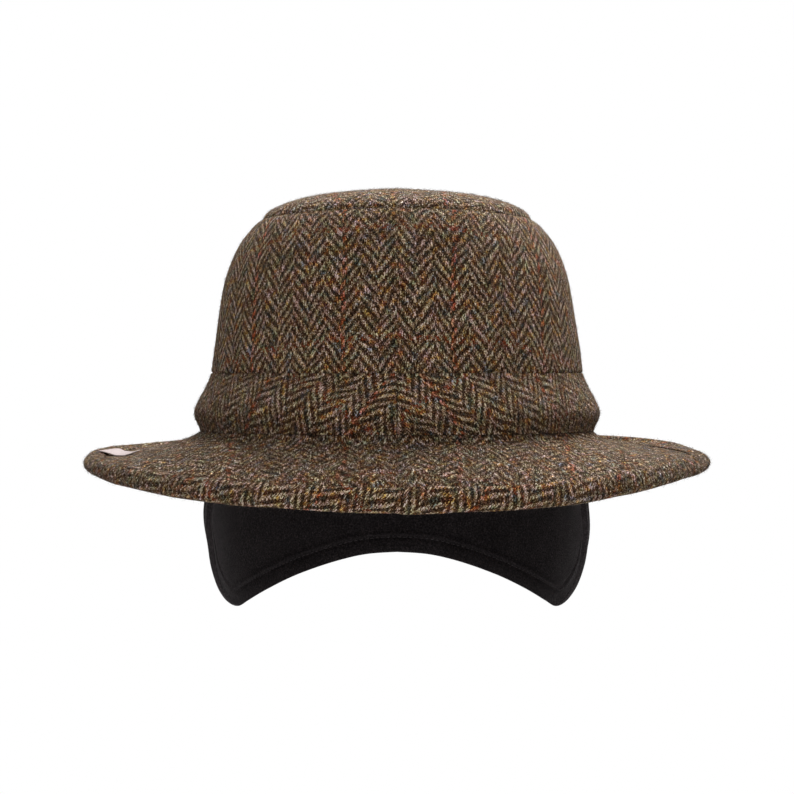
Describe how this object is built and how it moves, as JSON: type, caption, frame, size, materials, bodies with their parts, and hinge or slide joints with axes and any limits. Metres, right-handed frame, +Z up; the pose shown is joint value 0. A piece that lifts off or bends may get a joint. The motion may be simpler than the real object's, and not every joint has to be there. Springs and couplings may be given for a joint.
{
  "type": "fedora hat with ear flap",
  "caption": "Soft herringbone tweed fedora with a domed crown, bias-cut band, bound brim turned down in front, and a black fleece flap that covers ears and nape.",
  "frame": {"origin": "middle of the head opening, level with the seam between crown and brim", "axes": "+Z up, -Y the way the wearer faces, +X the wearer's left"},
  "size_m": [0.2748, 0.3098, 0.183],
  "materials": {
    "tweed": "brown herringbone wool tweed, slightly hairy",
    "tweed_bias": "the same tweed cut on the bias",
    "fleece": "black brushed fleece",
    "ribbon": "pale woven ribbon, blank"
  },
  "bodies": {
    "root": {"crown_side": "tweed", "crown_tip": "tweed", "band_left": "tweed_bias", "band_right": "tweed_bias", "brim": "tweed", "brim_binding": "tweed_bias", "ear_flap": "fleece", "side_label": "ribbon"}
  },
  "joints": []
}
